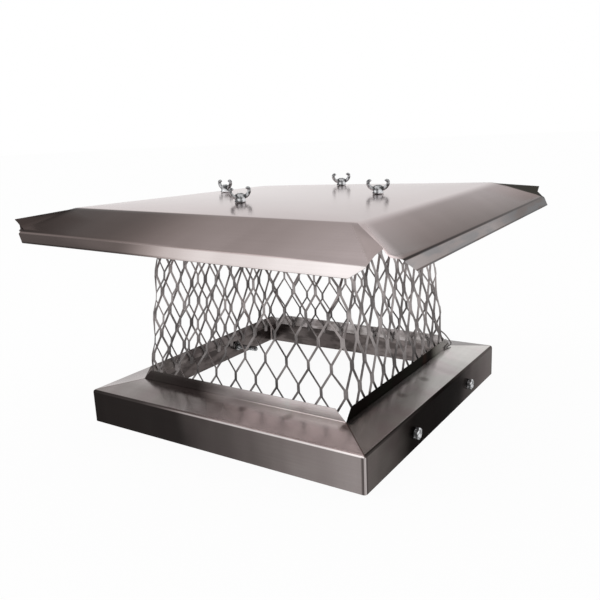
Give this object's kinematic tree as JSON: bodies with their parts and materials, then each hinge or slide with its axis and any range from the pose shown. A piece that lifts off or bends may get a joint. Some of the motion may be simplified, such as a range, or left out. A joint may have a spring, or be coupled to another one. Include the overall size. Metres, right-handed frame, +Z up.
{
  "type": "chimney cap",
  "caption": "Square stainless steel chimney cap: a flat-topped lid with sloping sides on an expanded-metal screen above a folded base pan.",
  "frame": {"origin": "middle of the base pan, on the plane of its lower edge", "axes": "+Z up, -Y towards the front side, +X towards the right side"},
  "size_m": [0.4488, 0.4488, 0.2562],
  "materials": {
    "pan_steel": "bright rolled sheet, lightly streaked",
    "lid_steel": "bright rolled sheet, softly polished",
    "screen_steel": "dull expanded metal",
    "plated_steel": "bright"
  },
  "bodies": {
    "root": {"base_pan": "pan_steel", "screen": "screen_steel", "lid": "lid_steel", "lid_bolt_front": "plated_steel", "lid_washer_front": "plated_steel", "wing_nut_front": "plated_steel", "lid_bolt_right": "plated_steel", "lid_washer_right": "plated_steel", "wing_nut_right": "plated_steel", "lid_bolt_back": "plated_steel", "lid_washer_back": "plated_steel", "wing_nut_back": "plated_steel", "lid_bolt_left": "plated_steel", "lid_washer_left": "plated_steel", "wing_nut_left": "plated_steel", "clamp_bolt_right_front": "plated_steel", "clamp_nut_right_front": "plated_steel", "clamp_bolt_right_back": "plated_steel", "clamp_nut_right_back": "plated_steel", "clamp_bolt_left_front": "plated_steel", "clamp_nut_left_front": "plated_steel", "clamp_bolt_left_back": "plated_steel", "clamp_nut_left_back": "plated_steel"}
  },
  "joints": []
}
